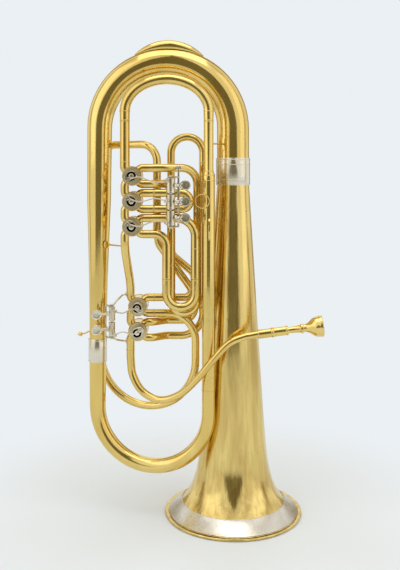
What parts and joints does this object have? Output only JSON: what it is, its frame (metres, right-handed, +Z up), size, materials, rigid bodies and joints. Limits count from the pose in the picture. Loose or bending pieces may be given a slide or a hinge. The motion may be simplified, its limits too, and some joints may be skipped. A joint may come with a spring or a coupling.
{
  "type": "tuba",
  "caption": "Contrabass tuba standing upright on its bell, with rotary valves worked by finger levers, pull-out tuning slides and a side mouthpiece.",
  "frame": {"origin": "centre of the bounding box's base, in the plane of the bell's rim", "axes": "+Z up along the bell's axis, +X towards the mouthpiece, -Y towards the player's fingers (the front)"},
  "size_m": [0.4568, 0.2556, 0.895],
  "materials": {
    "lacquered_brass": "aged clear lacquer over polished brass",
    "nickel_silver": "polished nickel silver",
    "spring_steel": "blued spring steel"
  },
  "bodies": {
    "instrument": {"bell": "lacquered_brass", "top_bow": "lacquered_brass", "bow_guard": "lacquered_brass", "bottom_bow": "lacquered_brass", "third_branch": "lacquered_brass", "leadpipe": "lacquered_brass", "mouthpiece_receiver": "lacquered_brass", "valve_casing_1": "lacquered_brass", "valve_casing_2": "lacquered_brass", "valve_casing_3": "lacquered_brass", "valve_casing_4": "lacquered_brass", "valve_casing_5": "lacquered_brass", "rear_cap_1": "lacquered_brass", "rear_cap_2": "lacquered_brass", "rear_cap_3": "lacquered_brass", "rear_cap_4": "lacquered_brass", "rear_cap_5": "lacquered_brass", "valve_crossover": "lacquered_brass", "valve_1_upper_tube": "lacquered_brass", "valve_1_lower_tube": "lacquered_brass", "valve_3_upper_tube": "lacquered_brass", "valve_3_lower_tube": "lacquered_brass", "valve_4_upper_tube": "lacquered_brass", "valve_4_lower_tube": "lacquered_brass", "valve_5_upper_tube": "lacquered_brass", "valve_5_lower_tube": "lacquered_brass", "bell_garland": "nickel_silver", "bell_ferrule": "nickel_silver", "bottom_bow_ferrule": "nickel_silver", "lever_frame_upper": "nickel_silver", "lever_frame_lower": "nickel_silver", "lever_axle_upper": "nickel_silver", "lever_axle_lower": "nickel_silver", "lever_spring_1": "spring_steel", "lever_spring_2": "spring_steel", "lever_spring_3": "spring_steel", "lever_spring_4": "spring_steel", "lever_spring_5": "spring_steel"},
    "main_tuning_slide": {"main_tuning_slide": "lacquered_brass"},
    "valve_1_slide": {"valve_1_slide": "lacquered_brass"},
    "valve_2_slide": {"valve_2_slide": "lacquered_brass"},
    "valve_3_slide": {"valve_3_slide": "lacquered_brass"},
    "valve_4_slide": {"valve_4_slide": "lacquered_brass"},
    "valve_5_slide": {"valve_5_slide": "lacquered_brass"},
    "mouthpiece": {"mouthpiece": "nickel_silver"},
    "rotor_1": {"rotor_1": "nickel_silver"},
    "rotor_2": {"rotor_2": "nickel_silver"},
    "rotor_3": {"rotor_3": "nickel_silver"},
    "rotor_4": {"rotor_4": "nickel_silver"},
    "rotor_5": {"rotor_5": "nickel_silver"},
    "lever_1": {"lever_1": "nickel_silver"},
    "lever_2": {"lever_2": "nickel_silver"},
    "lever_3": {"lever_3": "nickel_silver"},
    "lever_4": {"lever_4": "nickel_silver"},
    "lever_5": {"lever_5": "nickel_silver"},
    "link_1": {"link_1": "nickel_silver"},
    "link_2": {"link_2": "nickel_silver"},
    "link_3": {"link_3": "nickel_silver"},
    "link_4": {"link_4": "nickel_silver"},
    "link_5": {"link_5": "nickel_silver"}
  },
  "joints": [
    {"name": "lever_1_press", "type": "hinge", "parent": "instrument", "child": "lever_1", "pos_m": [-0.04935, -0.069, 0.6194], "axis": [0, 0, 1], "range_deg": [0, 30], "stiffness_Nm_per_rad": 0.15, "springref_deg": -17.19},
    {"name": "rotor_1_turn", "type": "hinge", "parent": "instrument", "child": "rotor_1", "pos_m": [-0.11945, -0.052, 0.636], "axis": [0, -1, 0], "range_deg": [0, 90]},
    {"name": "link_1_pivot", "type": "hinge", "parent": "rotor_1", "child": "link_1", "pos_m": [-0.12511, -0.0882, 0.63034], "axis": [0, -1, 0], "range_deg": [-90, 0]},
    {"name": "lever_2_press", "type": "hinge", "parent": "instrument", "child": "lever_2", "pos_m": [-0.04935, -0.069, 0.59], "axis": [0, 0, 1], "range_deg": [0, 30], "stiffness_Nm_per_rad": 0.15, "springref_deg": -17.19},
    {"name": "rotor_2_turn", "type": "hinge", "parent": "instrument", "child": "rotor_2", "pos_m": [-0.11945, -0.052, 0.59], "axis": [0, 1, 0], "range_deg": [0, 90]},
    {"name": "link_2_pivot", "type": "hinge", "parent": "rotor_2", "child": "link_2", "pos_m": [-0.12511, -0.0882, 0.59566], "axis": [0, 1, 0], "range_deg": [-90, 0]},
    {"name": "lever_3_press", "type": "hinge", "parent": "instrument", "child": "lever_3", "pos_m": [-0.04935, -0.069, 0.5606], "axis": [0, 0, 1], "range_deg": [0, 30], "stiffness_Nm_per_rad": 0.15, "springref_deg": -17.19},
    {"name": "rotor_3_turn", "type": "hinge", "parent": "instrument", "child": "rotor_3", "pos_m": [-0.11945, -0.052, 0.544], "axis": [0, 1, 0], "range_deg": [0, 90]},
    {"name": "link_3_pivot", "type": "hinge", "parent": "rotor_3", "child": "link_3", "pos_m": [-0.12511, -0.0882, 0.54966], "axis": [0, 1, 0], "range_deg": [-90, 0]},
    {"name": "lever_4_press", "type": "hinge", "parent": "instrument", "child": "lever_4", "pos_m": [-0.15985, -0.033, 0.3804], "axis": [0, 0, -1], "range_deg": [0, 30], "stiffness_Nm_per_rad": 0.15, "springref_deg": -17.19},
    {"name": "rotor_4_turn", "type": "hinge", "parent": "instrument", "child": "rotor_4", "pos_m": [-0.11185, -0.017, 0.393], "axis": [0, 1, 0], "range_deg": [0, 90]},
    {"name": "link_4_pivot", "type": "hinge", "parent": "rotor_4", "child": "link_4", "pos_m": [-0.10619, -0.0532, 0.38734], "axis": [0, 1, 0], "range_deg": [-90, 0]},
    {"name": "lever_5_press", "type": "hinge", "parent": "instrument", "child": "lever_5", "pos_m": [-0.15985, -0.033, 0.352], "axis": [0, 0, -1], "range_deg": [0, 30], "stiffness_Nm_per_rad": 0.15, "springref_deg": -17.19},
    {"name": "rotor_5_turn", "type": "hinge", "parent": "instrument", "child": "rotor_5", "pos_m": [-0.11185, -0.017, 0.347], "axis": [0, -1, 0], "range_deg": [0, 90]},
    {"name": "link_5_pivot", "type": "hinge", "parent": "rotor_5", "child": "link_5", "pos_m": [-0.10619, -0.0532, 0.35266], "axis": [0, -1, 0], "range_deg": [-90, 0]},
    {"name": "tuning_slide_pull", "type": "slide", "parent": "instrument", "child": "main_tuning_slide", "axis": [0, 0, 1], "range_m": [0, 0.055]},
    {"name": "valve_1_slide_pull", "type": "slide", "parent": "instrument", "child": "valve_1_slide", "axis": [0, 0, -1], "range_m": [0, 0.045]},
    {"name": "valve_2_slide_pull", "type": "slide", "parent": "instrument", "child": "valve_2_slide", "axis": [1, 0, 0], "range_m": [0, 0.01]},
    {"name": "valve_3_slide_pull", "type": "slide", "parent": "instrument", "child": "valve_3_slide", "axis": [0, 0, -1], "range_m": [0, 0.035]},
    {"name": "valve_4_slide_pull", "type": "slide", "parent": "instrument", "child": "valve_4_slide", "axis": [0, 0, 1], "range_m": [0, 0.035]},
    {"name": "valve_5_slide_pull", "type": "slide", "parent": "instrument", "child": "valve_5_slide", "axis": [0, 0, 1], "range_m": [0, 0.035]},
    {"name": "mouthpiece_pull", "type": "slide", "parent": "instrument", "child": "mouthpiece", "axis": [0.9912, 0, 0.1323], "range_m": [0, 0.045]}
  ],
  "couplings": [
    {"joint": "rotor_1_turn", "follows": "lever_1_press", "ratio": 3},
    {"joint": "link_1_pivot", "follows": "lever_1_press", "ratio": -3},
    {"joint": "rotor_2_turn", "follows": "lever_2_press", "ratio": 3},
    {"joint": "link_2_pivot", "follows": "lever_2_press", "ratio": -3},
    {"joint": "rotor_3_turn", "follows": "lever_3_press", "ratio": 3},
    {"joint": "link_3_pivot", "follows": "lever_3_press", "ratio": -3},
    {"joint": "rotor_4_turn", "follows": "lever_4_press", "ratio": 3},
    {"joint": "link_4_pivot", "follows": "lever_4_press", "ratio": -3},
    {"joint": "rotor_5_turn", "follows": "lever_5_press", "ratio": 3},
    {"joint": "link_5_pivot", "follows": "lever_5_press", "ratio": -3}
  ]
}
